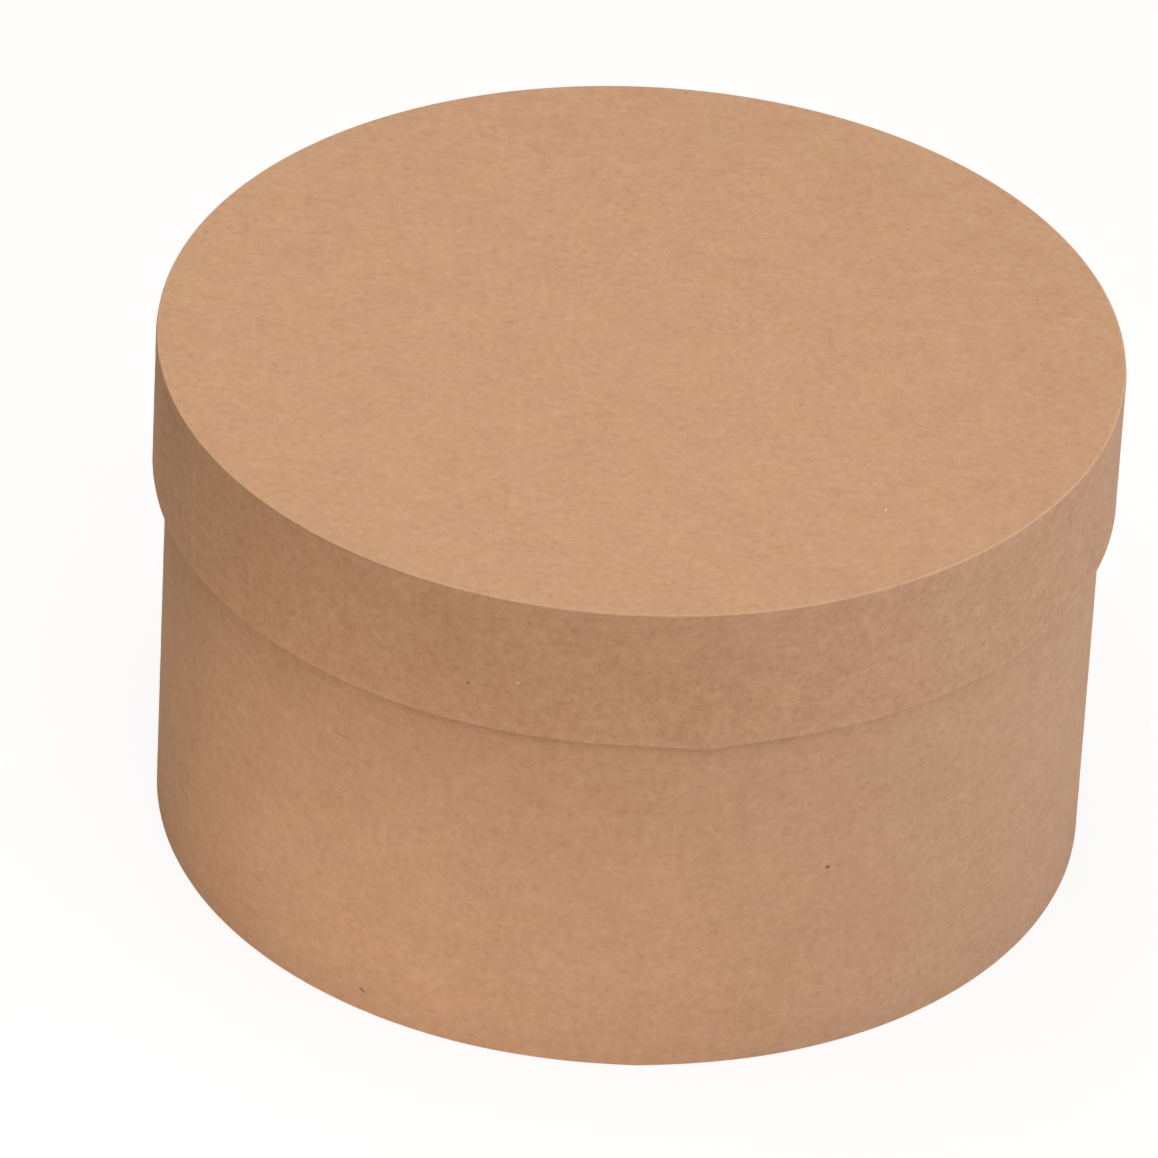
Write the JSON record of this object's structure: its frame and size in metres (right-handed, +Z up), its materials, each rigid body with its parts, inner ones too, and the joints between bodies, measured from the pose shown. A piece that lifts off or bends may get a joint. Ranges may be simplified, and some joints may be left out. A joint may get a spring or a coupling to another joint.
{
  "type": "round cardboard box",
  "caption": "Round lidded box of rolled board covered in plain kraft paper. The deep-rimmed lid slips over the body, lifts off and turns freely on it.",
  "frame": {"origin": "centre of the underside of the base, on the surface the box stands on", "axes": "+Z up along the axis of the box, -Y towards the front of the picture, +X to its right"},
  "size_m": [0.2, 0.2, 0.1135],
  "materials": {
    "kraft_paper": "matte uncoated brown kraft paper",
    "lining_paper": "matte brown kraft lining paper",
    "greyboard": "raw pressed greyboard",
    "gummed_tape": "smooth brown gummed paper tape"
  },
  "bodies": {
    "body": {"base_sheet": "kraft_paper", "base_board": "greyboard", "wall_board": "greyboard", "wall_joint_tape": "gummed_tape", "wall_wrap": "kraft_paper", "wall_lining": "lining_paper", "floor_lining": "lining_paper"},
    "lid_seat": {"lid_lining": "lining_paper"},
    "lid": {"lid_board": "greyboard", "rim_board": "greyboard", "rim_joint_tape": "gummed_tape", "rim_wrap": "kraft_paper", "rim_lining": "lining_paper", "lid_top_sheet": "kraft_paper"}
  },
  "joints": [
    {"name": "lid_lift", "type": "slide", "parent": "body", "child": "lid_seat", "axis": [0, 0, 1], "range_m": [0, 0.15]},
    {"name": "lid_turn", "type": "hinge", "parent": "lid_seat", "child": "lid", "pos_m": [0, 0, 0.111], "axis": [0, 0, 1], "continuous": true}
  ]
}
